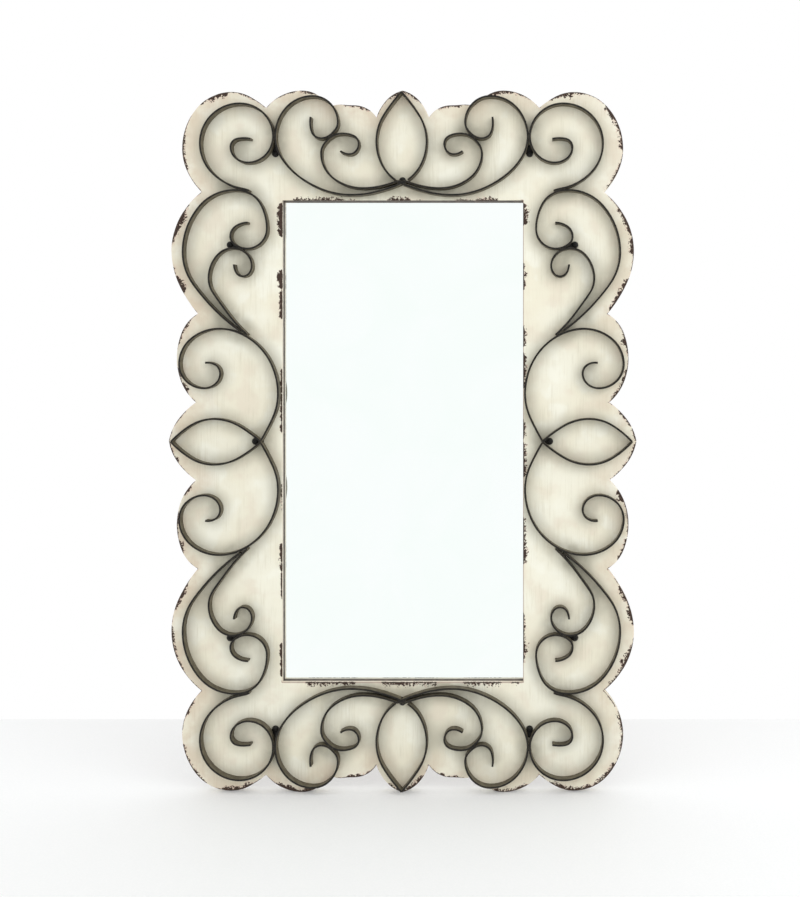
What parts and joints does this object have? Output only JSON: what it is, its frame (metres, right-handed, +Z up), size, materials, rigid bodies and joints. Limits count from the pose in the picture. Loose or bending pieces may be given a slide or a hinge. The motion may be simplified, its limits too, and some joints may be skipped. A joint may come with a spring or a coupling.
{
  "type": "wall mirror",
  "caption": "Tall rectangular wall mirror in a lobed painted wooden board with bent steel strip scrolls on its face, hung from two rings on its back.",
  "frame": {"origin": "middle of the whole depth, width and height", "axes": "+X to the right seen from the front, +Y to the wall behind, +Z up; the glass faces -Y"},
  "size_m": [0.6096, 0.035, 0.9144],
  "materials": {
    "painted_board": "cream paint, brushed and worn through at the edges",
    "mirror": "silvered float glass",
    "hardboard": "smooth brown hardboard",
    "dark_steel": "dark bronze lacquer, satin",
    "black_steel": "black lacquer, satin",
    "plated_steel": "nickel plated",
    "plated_screws": "zinc plated",
    "black_rubber": "matt rubber"
  },
  "bodies": {
    "mirror_body": {"frame_board": "painted_board", "mirror_glass": "mirror", "back_panel": "hardboard", "back_panel_screws": "plated_screws", "corner_scroll_top_left": "dark_steel", "side_outer_scroll_top_left": "dark_steel", "side_inner_scroll_top_left": "dark_steel", "side_middle_scroll_top_left": "dark_steel", "end_outer_scroll_top_left": "dark_steel", "end_inner_scroll_top_left": "dark_steel", "corner_scroll_top_right": "dark_steel", "side_outer_scroll_top_right": "dark_steel", "side_inner_scroll_top_right": "dark_steel", "side_middle_scroll_top_right": "dark_steel", "end_outer_scroll_top_right": "dark_steel", "end_inner_scroll_top_right": "dark_steel", "corner_scroll_bottom_left": "dark_steel", "side_outer_scroll_bottom_left": "dark_steel", "side_inner_scroll_bottom_left": "dark_steel", "side_middle_scroll_bottom_left": "dark_steel", "end_outer_scroll_bottom_left": "dark_steel", "end_inner_scroll_bottom_left": "dark_steel", "corner_scroll_bottom_right": "dark_steel", "side_outer_scroll_bottom_right": "dark_steel", "side_inner_scroll_bottom_right": "dark_steel", "side_middle_scroll_bottom_right": "dark_steel", "end_outer_scroll_bottom_right": "dark_steel", "end_inner_scroll_bottom_right": "dark_steel", "top_leaf": "dark_steel", "bottom_leaf": "dark_steel", "left_leaf": "dark_steel", "right_leaf": "dark_steel", "scroll_tabs": "black_steel", "scroll_screws": "black_steel", "hanger_strap_left": "plated_steel", "hanger_strap_right": "plated_steel", "hanger_screws": "plated_screws", "wall_bumpers": "black_rubber"},
    "left_ring": {"hanging_ring_left": "plated_steel"},
    "right_ring": {"hanging_ring_right": "plated_steel"}
  },
  "joints": [
    {"name": "left_ring_swing", "type": "hinge", "parent": "mirror_body", "child": "left_ring", "pos_m": [-0.22, 0.0126, 0.25009], "axis": [1, 0, 0], "range_deg": [0, 180]},
    {"name": "right_ring_swing", "type": "hinge", "parent": "mirror_body", "child": "right_ring", "pos_m": [0.22, 0.0126, 0.25009], "axis": [1, 0, 0], "range_deg": [0, 180]}
  ]
}
